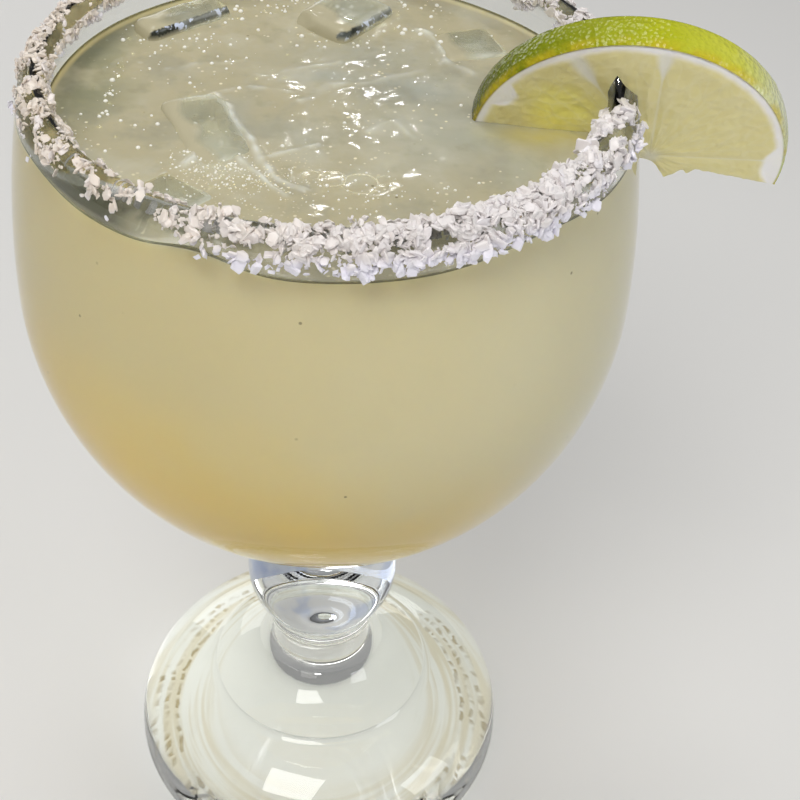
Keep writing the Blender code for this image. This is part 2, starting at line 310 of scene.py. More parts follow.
glass_finish, place, surface = finish("pressed_glass")
pressed = place.noise(45.0, 2.0)
smears = place.noise(130.0, 3.0).rise(0.56, 0.72)
x, y, z = place.parts()
away = length(x, y)
turn = y.math("ARCTAN2", x) / math.tau
glint_dashes = None
unsteady = place.noise(330.0, 2.0) - 0.5
for band, count in GLINT_DASH_RINGS:
    off_band = (away - band + unsteady * (1.6 * MM)).math("ABSOLUTE")
    glint_dash = (turn * count + band / MM + unsteady * 1.5).math("FRACT").rise(0.20, 0.55)
    glint_dash = glint_dash * (1 - off_band.rise(0.15 * MM, 0.55 * MM))
    glint_dashes = glint_dash if glint_dashes is None else glint_dashes.math("MAXIMUM", glint_dash)
underneath = 1 - z.rise(0.9 * MM, 1.2 * MM)
glint_dashes = glint_dashes * underneath * place.noise(120.0, 2.0).rise(0.40, 0.56)
glass_tone = smears.tint((0.960, 0.972, 0.950, 1), (0.935, 0.950, 0.925, 1))
# Painted reflection: warm amber swirls on the underside of the foot, for the drink's colour seen in
# the glass.
ringwise = place.node("CombineXYZ", None, {0: x / away * 0.45, 1: y / away * 0.45,
                                           2: away * 420.0})
warm = underneath * ringwise.noise(1.7, 2.0).rise(0.42, 0.62) * away.rise(20.0 * MM, 27.0 * MM)
glass_tone = (warm * 0.55).tint(glass_tone, (0.70, 0.57, 0.28, 1))
# Painted highlights: gold glint dashes on the stippled underside.
glass_tone = (glint_dashes * 0.85).tint(glass_tone, (0.34, 0.24, 0.07, 1))
# Painted reflection: the ball of the stem is tinted pale blue, with deeper blue patches.
ball_reflection = z.rise(BALL_FROM, BALL_FROM + 3.0 * MM) * (1 - z.rise(BALL_TO - 4.0 * MM, BALL_TO))
glass_tone = (ball_reflection * 0.6).tint(glass_tone, (0.66, 0.72, 0.82, 1))
glass_tone = (ball_reflection * place.noise(95.0, 3.0).rise(0.52, 0.64) * 0.7).tint(
    glass_tone, (0.30, 0.42, 0.78, 1))
# Painted reflection: dark green crescents on the wall above the drink at its left and right, and a
# dark band on the outer wall at the left.
emptied = z.rise(175.6 * MM, 176.4 * MM) * (1 - z.rise(179.5 * MM, 182.0 * MM)) \
    * (1 - away.rise(51.0 * MM, 52.0 * MM))
left_wall = turn.rise(-0.49, -0.46) * (1 - turn.rise(-0.365, -0.335))
right_wall = turn.rise(-0.135, -0.105) * (1 - turn.rise(-0.07, -0.05))
dark_reflection_band = (left_wall + right_wall) * emptied * 0.8
over_line = z.rise(179.6 * MM, 180.4 * MM) * away.rise(52.3 * MM, 52.8 * MM)
dark_reflection_band = dark_reflection_band.math("MAXIMUM", left_wall * over_line * 0.85)
glass_tone = dark_reflection_band.tint(glass_tone, (0.05, 0.07, 0.04, 1))
# Painted shade: dark patches on the top of the lip, which show as dark gaps between the salt.
lip_gap_shade = z.rise(181.6 * MM, 183.0 * MM) * place.noise(210.0, 2.0).rise(0.34, 0.56)
glass_tone = (lip_gap_shade * 0.85).tint(glass_tone, (0.10, 0.11, 0.08, 1))
show_glass = place.node("BsdfPrincipled", None, {
    "Base Color": glass_tone, "Roughness": smears * 0.03 + glint_dashes * 0.25 + 0.004,
    "IOR": 1.5, "Transmission Weight": 1.0,
    "Normal": place.bump(pressed, 0.10, 1.2 * MM)})
let_lamps_through(show_glass, surface, (0.90, 0.92, 0.90, 1))
goblet.data.materials.append(glass_finish)
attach(goblet, "root")
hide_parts("glass")

# The margarita fills the bowl to a centimetre below the rim: a cloudy pale liquid of lime juice
# and tequila. It clings to the wall in a thin curved edge, and its surface moves a little.
LEVEL = 175.0 * MM
INTO_WALL = 0.15 * MM
CLIMB = 1.2 * MM
# The painted dark line round the drink's edge: its height and its blur.
EDGE_LINE, EDGE_BLUR = 0.35 * MM, 0.1 * MM
SURFACE_GRAIN = 0.5 * MM
DRINK_STEPS = 320
# Where the edges of sunk ice lift the surface: a path, its half width and its height, all in
# mm, and how pale it is.
RIDGES = (
    (((-20.7, 6.3), (-18.1, 1.8), (-16.1, -3.9), (-14.3, -8.2), (-12.5, -13.6), (-11.3, -16.8),
      (-8.1, -21.6), (-3.9, -25.0)), 0.70, 0.50, 1.0),
    (((-21.1, 6.6), (-17.2, 7.9), (-12.4, 8.2), (-6.0, 7.4)), 0.60, 0.20, 0.55),
    (((-22.4, 4.4), (-22.4, -3.6), (-21.8, -9.2), (-20.0, -12.4)), 0.70, 0.15, 0.30),
    (((-11.4, -15.2), (-6.7, -12.7), (-2.1, -10.6)), 0.55, 0.30, 0.50),
    (((-27.8, -23.6), (-25.0, -18.3), (-22.0, -12.8), (-20.1, -11.1)), 0.75, 0.40, 0.80),
    (((-20.1, -11.1), (-17.3, -12.6), (-15.1, -15.7), (-12.9, -18.7), (-9.7, -24.1),
      (-7.1, -26.7)), 0.65, 0.35, 0.75),
    (((-29.6, 14.6), (-23.3, 16.9), (-16.9, 18.4)), 0.6, 0.20, 0.45),
    (((-12.6, 13.0), (-5.7, 16.7), (1.8, 18.7)), 0.7, 0.25, 0.40),
    (((-5.4, 4.3), (0.0, 9.9), (9.2, 12.3), (16.7, 16.5)), 0.8, 0.25, 0.35),
    (((17.3, 32.3), (21.0, 28.5), (22.0, 19.8), (26.1, 16.2)), 0.9, 0.35, 0.70),
    (((7.1, -5.5), (11.6, -1.9), (14.5, -6.8)), 0.8, 0.30, 0.45),
)
# Where the liquid clings higher to the wall: how far in mm, then middle and width in degrees.
CLINGS = ((2.5, -113, 9), (0.5, -128, 10), (1.5, -50, 14), (1.3, -153, 15), (0.5, 150, 20),
          (0.4, 70, 15))
# Where the drink looks clearer and greyer, over sunk ice: middle and spread in mm, and how much.
CLEARER = (
    (0.0, 13.6, 9.0, 4.0, 0.9), (16.4, 9.0, 12.0, 8.0, 1.0), (-5.1, -7.7, 7.0, 6.0, 0.6),
    (24.8, -6.0, 10.0, 9.0, 0.9), (32.8, -16.0, 7.0, 7.0, 0.7), (-17.0, -4.0, 4.0, 8.0, 0.8),
    (5.0, 24.0, 10.0, 3.0, 0.6), (20.0, -4.0, 18.0, 16.0, 0.75), (8.0, 20.0, 16.0, 9.0, 0.6),
)
# Where the lime's painted reflection lies on the drink beside it: middle and spread in mm.
LIME_REFLECTION = (37.5, -5.5, 8.5, 3.6)
# Below about this height the drink's body is painted a brighter gold, as painted light.
PAINTED_GLOW_BELOW = 122.0 * MM
# Blender seeds noise_vector from the clock when it starts, so the ridges' wander needs its own.
WANDER_SEED = 1795836130


def bell(angle, middle, width):
    """1 at an angle in degrees, falling off to both sides."""
    away = (np.degrees(angle) - middle + 180.0) % 360.0 - 180.0
    return np.exp(-(away / width) ** 2)


def wall_level(angle):
    """How far the liquid's edge stands over its level, round the wall."""
    return sum(up * bell(angle, middle, width) for up, middle, width in CLINGS) * MM


def ripple(x, y):
    """The surface's small swells, in metres."""
    swell = noise.noise(Vector((x * 120.0, y * 120.0, 3.1)))
    fine = noise.noise(Vector((x * 420.0, y * 420.0, 7.7)))
    return 0.30 * MM * swell + 0.06 * MM * fine


def surface_height(x, y):
    """The height of the drink's surface."""
    share = min(math.hypot(x, y) / inner_wall(LEVEL), 1.0)
    edge = float(wall_level(math.atan2(y, x))) * share ** 8
    return LEVEL + edge + ripple(x, y) * (1 - share ** 10)


def nearness(places, path, half_width):
    """1 on a path, falling off to both sides; the places wander a little off it."""
    nearest = np.full(len(places), np.inf)
    for start, end in zip(path, path[1:]):
        start, leg = np.array(start) * MM, (np.array(end) - np.array(start)) * MM
        along = np.clip((places - start) @ leg / (leg @ leg), 0.0, 1.0)
        off = np.linalg.norm(places - start - along[:, None] * leg, axis=1)
        nearest = np.minimum(nearest, off)
    return np.exp(-(nearest / (half_width * MM)) ** 2)


wall = bowl_side(BOWL_RADIUS - WALL + INTO_WALL, BOWL_BOTTOM + BOWL_FLOOR - INTO_WALL,
                 RIM_RADIUS - WALL + INTO_WALL, LEVEL + CLIMB)
wall[-1:-1] = [(inner_wall(LEVEL + up) + INTO_WALL, LEVEL + up)
               for up in (CLIMB - EDGE_LINE - EDGE_BLUR, CLIMB - EDGE_LINE)]
top_radius = wall[-1][0]
curl = [(top_radius - out * MM, LEVEL + up * MM)
        for out, up in ((0.22, 0.95), (0.45, 0.65), (0.8, 0.36), (1.3, 0.16), (2.0, 0.05))]
flat_top = [(radius, LEVEL) for radius in np.arange(top_radius - 2.8 * MM, 0.0, -SURFACE_GRAIN)]
drink = spun("margarita", wall + curl + flat_top + [(0.0, LEVEL)], DRINK_STEPS)
points = points_of(drink)
across = np.hypot(points[:, 0], points[:, 1])
angle = np.arctan2(points[:, 1], points[:, 0])
share = np.clip(across / top_radius, 0.0, 1.0)
at_wall = across > np.array([inner_wall(height) for height in points[:, 2]])
near_top = np.clip((points[:, 2] - (LEVEL - 8 * MM)) / (8 * MM), 0.0, 1.0)
meniscus = np.clip((points[:, 2] - (LEVEL + CLIMB - EDGE_LINE - EDGE_BLUR)) / EDGE_BLUR, 0.0, 1.0)
points[:, 2] += wall_level(angle) * near_top * share ** 8
on_top = (near_top > 0.95) & ~at_wall
points[on_top, 2] += [ripple(x, y) for x, y in points[on_top, :2]] * (1 - share[on_top] ** 10)
noise.seed_set(WANDER_SEED)
wander = np.array([noise.noise_vector(Vector((x * 190.0, y * 190.0, 0.0)))[:2]
                   for x, y in points[:, :2]]) * 1.1 * MM
patchy = np.array([noise.noise(Vector((x * 330.0, y * 330.0, 5.0))) for x, y in points[:, :2]])
pale, clearer = np.zeros(len(points)), np.zeros(len(points))
for path, half_width, height, paleness in RIDGES:
    near = nearness(points[:, :2] + wander, path, half_width) * on_top
    points[:, 2] += near * height * np.clip(0.8 + patchy, 0.25, 1.2) * MM
    pale = np.maximum(pale, near * paleness * np.clip(0.55 + 1.2 * patchy, 0.08, 1.0))
for mid_x, mid_y, wide, deep, amount in CLEARER:
    far = ((points[:, 0] + 2 * wander[:, 0]) / MM - mid_x) ** 2 / wide ** 2 \
        + ((points[:, 1] + 2 * wander[:, 1]) / MM - mid_y) ** 2 / deep ** 2
    clearer = np.maximum(clearer, amount * np.exp(-far))
mid_x, mid_y, wide, deep = LIME_REFLECTION
lime_glow = np.exp(-((points[:, 0] / MM - mid_x) / wide) ** 2
                   - ((points[:, 1] / MM - mid_y) / deep) ** 2)
wall_radius = inner_wall(points[:, 2]) + INTO_WALL
upper = at_wall & (points[:, 2] > BOWL_WIDEST)
points[upper, :2] *= (wall_radius[upper] / across[upper])[:, None]
set_points(drink, points)
store(drink, "meniscus", meniscus)
store(drink, "pale", pale)
store(drink, "clearer", clearer)
store(drink, "lime_glow", lime_glow * on_top)

drink_finish, place, surface = finish("cloudy_margarita")
x, y, z = place.parts()
cloud = place.noise(38.0, 3.0)
streaks = place.node("Mapping", None, {"Vector": place, "Scale": (1, 1, 0.35)}).noise(90.0, 4.0)
# Painted light and shade: the body is painted darker and more amber to the left, and a brighter
# gold low down, for light from below.
side = ((x * -9.0 + y * -3.0) + (cloud - 0.5) * 0.5).rise(-0.55, 0.60)
low = (PAINTED_GLOW_BELOW - z + side * (36.0 * MM)).rise(-4.0 * MM, 44.0 * MM)
body = side.tint((0.650, 0.600, 0.410, 1), (0.625, 0.540, 0.300, 1))
body = low.tint(body, (0.86, 0.61, 0.10, 1))
clearer, pale, edge_shade, lime_glow = [
    place.stored(name) for name in ("clearer", "pale", "meniscus", "lime_glow")]
mottled = place.noise(260.0, 4.0)
top_tone = clearer.tint((0.490, 0.445, 0.295, 1), (0.420, 0.430, 0.360, 1))
top_tone = (mottled.rise(0.50, 0.75) * 0.35).tint(top_tone, (0.30, 0.29, 0.20, 1))
top_tone = (streaks.rise(0.42, 0.80) * 0.5).tint(top_tone, (0.62, 0.59, 0.45, 1))
# Painted reflection of the lime on the drink in front of it.
top_tone = (lime_glow * 0.8).tint(top_tone, (0.66, 0.58, 0.22, 1))
top_tone = pale.tint(top_tone, (0.78, 0.80, 0.74, 1))
blotch = place.noise(85.0, 4.0)
top_tone = (blotch.rise(0.52, 0.68) * 0.45).tint(top_tone, (0.34, 0.33, 0.25, 1))
top_tone = ((1 - blotch.rise(0.32, 0.46)) * 0.35).tint(top_tone, (0.60, 0.59, 0.48, 1))
# Painted shade: dark green on the drink's top beside the left wall.
wall_shade = (1 - x.rise(-45.0 * MM, -30.0 * MM)) * y.rise(-14.0 * MM, 6.0 * MM)
top_tone = (wall_shade * place.noise(110.0, 3.0).rise(0.3, 0.6) * 0.6).tint(
    top_tone, (0.17, 0.19, 0.10, 1))
# Painted highlights: tiny gold sparkles on the drink near the froth at the front left.
from_froth = length(x + 13.0 * MM, y + 22.0 * MM)
painted_sparkle = place.node("TexVoronoi", None, {"Vector": place, "Scale": 1300.0})
painted_sparkle = (1 - painted_sparkle.rise(0.14, 0.28)) * place.noise(420.0, 2.0).rise(0.44, 0.58)
painted_sparkle = painted_sparkle * (1 - from_froth.rise(6.0 * MM, 15.0 * MM))
top_tone = (painted_sparkle * 0.9).tint(top_tone, (0.98, 0.90, 0.62, 1))
foam = place.node("TexVoronoi", None, {"Vector": place, "Scale": 520.0})
foamy = (1 - foam.rise(0.10, 0.20)) * place.noise(70.0, 2.0).rise(0.46, 0.62)
top_tone = (foamy * 0.8).tint(top_tone, (0.90, 0.84, 0.62, 1))
away = length(x, y)
over = z.rise(LEVEL - 10.0 * MM, LEVEL - 6.0 * MM) * (1 - away.rise(49.2 * MM, 49.8 * MM))
colour = over.tint(body, top_tone)
specks = place.node("TexVoronoi", None, {"Vector": place, "Scale": 260.0})
keep = place.node("TexVoronoi", None, {"Vector": place, "Scale": 260.0}, 1).parts()[0]
dots = (1 - specks.rise(0.05, 0.09)) * keep.rise(0.84, 0.88)
colour = (dots * 0.75).tint(colour, (0.16, 0.13, 0.06, 1))
# Painted shade: a dark line round the top of the drink where it meets the glass.
colour = (edge_shade * 0.94).tint(colour, (0.018, 0.020, 0.012, 1))
swirl = place.noise(210.0, 2.0) * 0.5 + place.noise(620.0, 2.0) * 0.18 + streaks
show(place.node("BsdfPrincipled", None, {
    "Base Color": colour, "Roughness": cloud * 0.05 + 0.05, "IOR": 1.34,
    "Subsurface Weight": 0.55, "Subsurface Radius": (1.0, 0.85, 0.5),
    "Subsurface Scale": 4.0 * MM, "Normal": place.bump(swirl, 0.22, 0.6 * MM)}), surface)
drink.data.materials.append(drink_finish)

# Bar ice floats in the drink: five cubes with worn edges and milky cracks break the surface. The
# two at the back stand out of it; their sides are painted dark as shade, with painted glints.
ICE_EDGE = 1.8 * MM
ICE_VOXEL = 0.55 * MM
ICE_WEAR = 0.35 * MM
POCKET_OVERLAP = 0.15 * MM
POCKET_TAPER, POCKET_DEPTH = 0.66, 5.5 * MM
ICE = (
    ("ice_1", (-21.0, -6.5, 167.2), (12, 24, 17), 0.38, 0.05),
    ("ice_2", (-27.0, -28.0, 169.2), (14, 14, 12), 0.78, -0.06),
    ("ice_3", (-28.4, 33.6, 171.2), (21, 7, 13), 0.71, 0.04),
    ("ice_4", (2.5, 36.5, 170.6), (17, 13, 14), 0.91, 0.04),
    ("ice_5", (26.5, 27.5, 169.4), (14, 14, 12), 0.30, -0.07),
)


def ice_cube(name, centre, size, turn, lean):
    """A cube with bevelled edges."""
    bpy.ops.object.select_all(action="DESELECT")
    bpy.ops.mesh.primitive_cube_add(size=1.0, location=Vector(centre) * MM,
                                    rotation=(lean, 0.0, turn))
    piece = bpy.context.object
    piece.name = piece.data.name = name
    piece.scale = [side * MM for side in size]
    bpy.ops.object.transform_apply(location=True, rotation=True, scale=True)
    edit(piece, (bpy.ops.mesh.bevel, dict(offset=ICE_EDGE, segments=2, affect="EDGES")))
    return piece


def pocket(centre, size, turn):
    """The hollow that a cube melts into the cloudy drink: as wide as the cube, and tapering."""
    bpy.ops.object.select_all(action="DESELECT")
    bpy.ops.mesh.primitive_cube_add(size=2.0)
    piece = bpy.context.object
    points = points_of(piece)
    half = np.array(size) * MM / 2 - POCKET_OVERLAP - ICE_WEAR
    points[:, :2] *= half[:2]
    points[points[:, 2] < 0, :2] *= POCKET_TAPER
    points[:, 2] *= POCKET_DEPTH
    points += (centre[0] * MM, centre[1] * MM, LEVEL)
    set_points(piece, points)
    piece.data.transform(Matrix.Translation((centre[0] * MM, centre[1] * MM, 0))
                         @ Matrix.Rotation(turn, 4, "Z")
                         @ Matrix.Translation((-centre[0] * MM, -centre[1] * MM, 0)))
    edit(piece, (bpy.ops.mesh.bevel, dict(offset=1.2 * MM, segments=2, affect="EDGES")))
    return piece


def chip(piece, centre, size, rng):
    """Break small flat chips off the cube's corners, as ice does when it is scooped."""
    for _ in range(4):
        corner = Vector([rng.choice((-1, 1)) * side / 2 for side in size])
        normal = Vector([part / abs(part) * rng.uniform(0.4, 1.0) for part in corner]).normalized()
        reach = corner.dot(normal) * rng.uniform(0.74, 0.82)
        only(piece)
        bpy.ops.object.mode_set(mode="EDIT")
        bpy.ops.mesh.select_all(action="SELECT")
        bpy.ops.mesh.bisect(plane_co=(Vector(centre) + normal * reach) * MM, plane_no=normal,
                            use_fill=True, clear_outer=True)
        bpy.ops.object.mode_set(mode="OBJECT")


def worn_ice(name, centre, size, turn, lean, seed):
    """A melting cube: chipped, hollowed and with frost along its edges."""
    rng = random.Random(seed)
    piece = ice_cube(name, centre, size, turn, lean)
    chip(piece, centre, size, rng)
    remesh = piece.modifiers.new("Even", "REMESH")
    remesh.mode, remesh.voxel_size = "VOXEL", ICE_VOXEL
    only(piece)
    bpy.ops.object.modifier_apply(modifier="Even")
    points = points_of(piece)
    inverse = np.array(Euler((lean, 0.0, turn)).to_matrix().transposed())
    local = (points - np.array(centre) * MM) @ inverse.T / (np.array(size) * MM / 2)
    order = np.sort(np.abs(local), axis=1)
    frost = np.clip((order[:, 1] - 0.70) / 0.25, 0.0, 1.0)
    drift = Vector((seed * 3.7, seed * 1.3, 0.0))
    worn = np.array([noise.noise(Vector(point) * 170.0 + drift) for point in points])
    fine = np.array([noise.noise(Vector(point) * 520.0 + drift) for point in points])
    on_top = local[:, 2] > 0.6
    hollow = (0.45 * worn + 0.10 * fine) * MM + ICE_WEAR * (1 - order[:, 1]) * on_top
    outward = points - np.array(centre) * MM
    outward /= np.linalg.norm(outward, axis=1)[:, None]
    set_points(piece, points - outward * np.clip(hollow, 0.0, None)[:, None])
    # Where the back cubes' sides stand out of the drink: painted dark as shade.
    flank = (local[:, 1] < -0.70) & (local[:, 2] < 0.93)
    flank = flank * np.clip((points[:, 2] - LEVEL - 0.5 * MM) / (0.4 * MM), 0.0, 1.0)
    sunk = np.clip((-0.05 - local[:, 0] + 0.5 * worn) / 0.45, 0.0, 1.0)
    store(piece, "frost", frost * (1 - sunk))
    store(piece, "flank", flank)
    store(piece, "sunk", sunk)
    only(piece)
    bpy.ops.object.shade_smooth()
    return piece


def cut_out(piece, cutter):
    """Cut a shape out of the piece and throw the cutter away."""
    cut = piece.modifiers.new("Cut", "BOOLEAN")
    cut.operation, cut.solver, cut.object = "DIFFERENCE", "EXACT", cutter
    only(piece)
    bpy.ops.object.modifier_apply(modifier="Cut")
    bpy.data.objects.remove(cutter, do_unlink=True)


ice_finish, place, surface = finish("bar_ice")
frost, flank, sunk = [place.stored(name) for name in ("frost", "flank", "sunk")]
cracks = place.node("TexVoronoi", {"feature": "DISTANCE_TO_EDGE"}, {"Vector": place, "Scale": 95.0})
veins = 1 - cracks.rise(0.0, 0.05)
patches = place.noise(260.0, 3.0).rise(0.42, 0.68)
wet = place.noise(75.0, 3.0)
milky = frost * patches * 0.35 + veins * patches * 0.15 + wet.rise(0.30, 0.70) * 0.45 + 0.15
milky = milky.math("MAXIMUM", flank).math("MAXIMUM", sunk)
clear_ice = place.node("BsdfPrincipled", None, {
    "Base Color": patches.tint((0.94, 0.97, 0.96, 1), (0.90, 0.94, 0.92, 1)),
    "Roughness": patches * 0.10 + 0.02, "IOR": 1.31, "Transmission Weight": 1.0,
    "Normal": place.bump(veins * 0.6 + place.noise(420.0), 0.18, 0.5 * MM)})
# Painted shade and highlights: dark sides with blue-white glints.
shaded_flank_tone = patches.tint((0.035, 0.038, 0.030, 1), (0.17, 0.19, 0.18, 1))
shaded_flank_tone = place.noise(620.0, 2.0).rise(0.54, 0.62).tint(shaded_flank_tone, (0.66, 0.74, 0.95, 1))
murk = sunk.tint((0.440, 0.445, 0.350, 1), (0.490, 0.450, 0.305, 1))
murk = (frost * 0.7).tint(murk, (0.80, 0.82, 0.78, 1))
murk = (flank * (1 - frost * 0.5)).tint(murk, shaded_flank_tone)
white_ice = place.node("BsdfPrincipled", None, {
    "Base Color": murk, "Roughness": patches * 0.2 + 0.06, "IOR": 1.31})
mixed_ice = place.node("MixShader", None, {0: milky, 1: clear_ice, 2: white_ice})
let_lamps_through(mixed_ice, surface, (0.90, 0.93, 0.92, 1))

for seed, (name, centre, size, turn, lean) in enumerate(ICE):
    cube = worn_ice(name + "_cube", centre, size, turn, lean, seed)
    cube.data.materials.append(ice_finish)
    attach(cube, "root")
    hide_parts(name)
    cut_out(drink, pocket(centre, size, turn))

# The lime slice is half a wheel, cut fresh and about a quarter inch thick. It is slit halfway
# and pushed over the rim: thin waxy green rind, white pith, wet pulp in segments.
LIME_RADIUS, LIME_THICKNESS = 28.6 * MM, 6.5 * MM
LIME_CENTRE = Vector((53.3, -3.2, 170.1)) * MM
LIME_TILT = (Matrix.Rotation(math.radians(-7.9), 4, "Z")
             @ Matrix.Rotation(math.radians(19.4), 4, "X")
             @ Matrix.Rotation(math.radians(8.8), 4, "Y"))
LIME_CORE = (4.2 * MM, 1.2 * MM)
MEMBRANES = (133.0, 101.0, 13.0)
RIND_DEPTH = 0.9 * MM
LEFT_PITH, RIGHT_PITH = 2.79, 0.18
TIP_TURN = 0.014
FACE_COLUMNS, FACE_ROWS, RIND_ROWS, CUT_ROWS = 300, 62, 18, 10
# The slit is the goblet's wall with some play: where it ends, and its turns in degrees.
SLIT_FOOT, SLIT_PLAY, SLIT_START, SLIT_SWEEP = 158.0 * MM, 0.25 * MM, -18.0, -26.0


def pith_depth(angle):
    """How thick the white pith is round the slice, thicker near its two ends."""
    return (0.9 + 2.6 * np.exp(-((angle - LEFT_PITH) / 0.08) ** 2)
            + 1.8 * np.exp(-((angle - RIGHT_PITH) / 0.13) ** 2)) * MM


def membrane_share(x, z):
    """1 on the membranes between the segments, 0 in the pulp."""
    share = np.zeros_like(x)
    for degrees in MEMBRANES:
        turn = math.radians(degrees)
        along = (x - LIME_CORE[0]) * math.cos(turn) + (z - LIME_CORE[1]) * math.sin(turn)
        off = np.abs((x - LIME_CORE[0]) * math.sin(turn) - (z - LIME_CORE[1]) * math.cos(turn))
        width = (0.30 * MM + 0.030 * np.clip(along, 0, None))
        share = np.maximum(share, np.exp(-(off / width) ** 2) * (along > 0))
    return share


def flap(x):
    """How far the torn pulp hangs below the cut edge."""
    hang = 3.6 * np.exp(-((x / MM - 8.6) / 2.2) ** 2) + 1.6 * np.exp(-((x / MM - 12.3) / 0.7) ** 2)
    ragged = np.array([noise.noise(Vector((value * 900.0, 1.7, 0.0))) for value in x])
    return -(hang * (1 + 0.3 * ragged) + 0.35 * np.abs(ragged) * (np.abs(x / MM) < 26)) * MM


loop = 2 * FACE_ROWS + RIND_ROWS + CUT_ROWS
bpy.ops.object.select_all(action="DESELECT")
bpy.ops.mesh.primitive_grid_add(x_subdivisions=FACE_COLUMNS, y_subdivisions=loop, size=2.0)
lime = bpy.context.object
lime.name = lime.data.name = "lime_half_wheel"
points = points_of(lime)
turn = TIP_TURN + (1 - points[:, 0]) / 2 * (math.pi - 2 * TIP_TURN)
row = (points[:, 1] + 1) / 2 * loop
rim_x, rim_z = LIME_RADIUS * np.cos(turn), LIME_RADIUS * np.sin(turn)
front = np.clip(row / FACE_ROWS, 0, 1)
band = np.clip((row - FACE_ROWS) / RIND_ROWS, 0, 1)
back = np.clip((row - FACE_ROWS - RIND_ROWS) / FACE_ROWS, 0, 1)
closing = np.clip((row - 2 * FACE_ROWS - RIND_ROWS) / CUT_ROWS, 0, 1)
reach = front - back
bottom = flap(rim_x)
height = bottom + reach * (rim_z - bottom)
x = rim_x * (0.985 + 0.015 * reach)
belly = np.sin(band * math.pi) ** 0.5
depth = LIME_THICKNESS * (band - closing)
swell = 1 - 0.022 * (1 - belly) * reach
x, height = x * swell, height * (1 - 0.022 * (1 - belly) * (reach > 0.98))
radius = np.hypot(x, height)
rind_turn = np.arctan2(height, x)
pith_edge = LIME_RADIUS - RIND_DEPTH - pith_depth(rind_turn)
pulp = np.clip((pith_edge - radius) / (1.2 * MM), 0, 1) * (1 - membrane_share(x, height))
core_turn = np.arctan2(height - LIME_CORE[1], x - LIME_CORE[0])
core_far = np.hypot(x - LIME_CORE[0], height - LIME_CORE[1])
vesicle = np.array([noise.noise(Vector((a * 9.0, f * 260.0, 0.3)))
                    for a, f in zip(core_turn, core_far)])
grit = np.array([noise.noise(Vector((a * 900.0, b * 900.0, 0.9))) for a, b in zip(x, height)])
relief = pulp * (0.16 + 0.15 * vesicle + 0.12 * grit) * MM * np.clip(row / 2, 0, 1)
on_front = (band == 0) & (closing == 0)
on_back = (band == 1) & (closing == 0)
depth = depth - relief * on_front + relief * on_back
dimples = np.array([noise.noise(Vector((a * 700.0, b * 700.0, c * 700.0)))
                    for a, b, c in zip(x, height, depth)])
on_rind = (band > 0.05) & (band < 0.95)
lump = 1 + on_rind * dimples * 0.0035
set_points(lime, np.stack([x * lump, depth, height * lump], axis=1))
edit(lime, (bpy.ops.mesh.remove_doubles, dict(threshold=0.002 * MM)),
     (bpy.ops.mesh.fill_holes, dict(sides=0)),
     (bpy.ops.mesh.normals_make_consistent, dict(inside=False)))
lime.data.transform(Matrix.Translation(LIME_CENTRE) @ LIME_TILT)

slit_heights = np.linspace(SLIT_FOOT, RIM_HEIGHT, 6)
outside = [(outer_wall(value) + SLIT_PLAY, value) for value in slit_heights]
inside = [(inner_wall(value) - SLIT_PLAY, value) for value in slit_heights]
apex = [(RIM_RADIUS - WALL / 2 + 0.2 * MM, RIM_HEIGHT + 2.0 * MM),
        (RIM_RADIUS - WALL / 2 - 1.4 * MM, RIM_HEIGHT + 4.2 * MM),
        (RIM_RADIUS - WALL / 2 - 2.2 * MM, RIM_HEIGHT + 2.0 * MM)]
section = outside + apex + inside[::-1]
slit = mesh_piece("slit", [(radius, 0, value) for radius, value in section], (),
                  [tuple(range(len(section)))])
slit.data.transform(Matrix.Rotation(math.radians(SLIT_START), 4, "Z"))
edit(slit, (bpy.ops.mesh.spin, dict(steps=16, angle=math.radians(SLIT_SWEEP), center=(0, 0, 0),
                                    axis=(0, 0, 1))),
     (bpy.ops.mesh.remove_doubles, dict(threshold=0.002 * MM)),
     (bpy.ops.mesh.normals_make_consistent, dict(inside=False)))
cut_out(lime, slit)
only(lime)
bpy.ops.object.shade_smooth_by_angle(angle=math.radians(50))

# The drink is hollowed where the slice dips in, a little smaller than the slice.
hollow_radius = LIME_RADIUS - 0.2 * MM
arc = ellipse((0.0, 0.0), (hollow_radius, hollow_radius), 0, 180, 61)
sides = [[(a, depth, b) for a, b in arc] for depth in (0.5 * MM, LIME_THICKNESS - 0.5 * MM)]
count = len(arc)
faces = [tuple(range(count))[::-1], tuple(range(count, 2 * count))]
faces += [(index, (index + 1) % count, count + (index + 1) % count, count + index)
          for index in range(count)]
hollow = mesh_piece("lime_hollow", sides[0] + sides[1], (), faces)
hollow.data.transform(Matrix.Translation(LIME_CENTRE) @ LIME_TILT)
edit(hollow, (bpy.ops.mesh.normals_make_consistent, dict(inside=False)))
cut_out(drink, hollow)
only(drink)
bpy.ops.object.shade_smooth_by_angle(angle=math.radians(35))
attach(drink, "root")
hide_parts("drink")

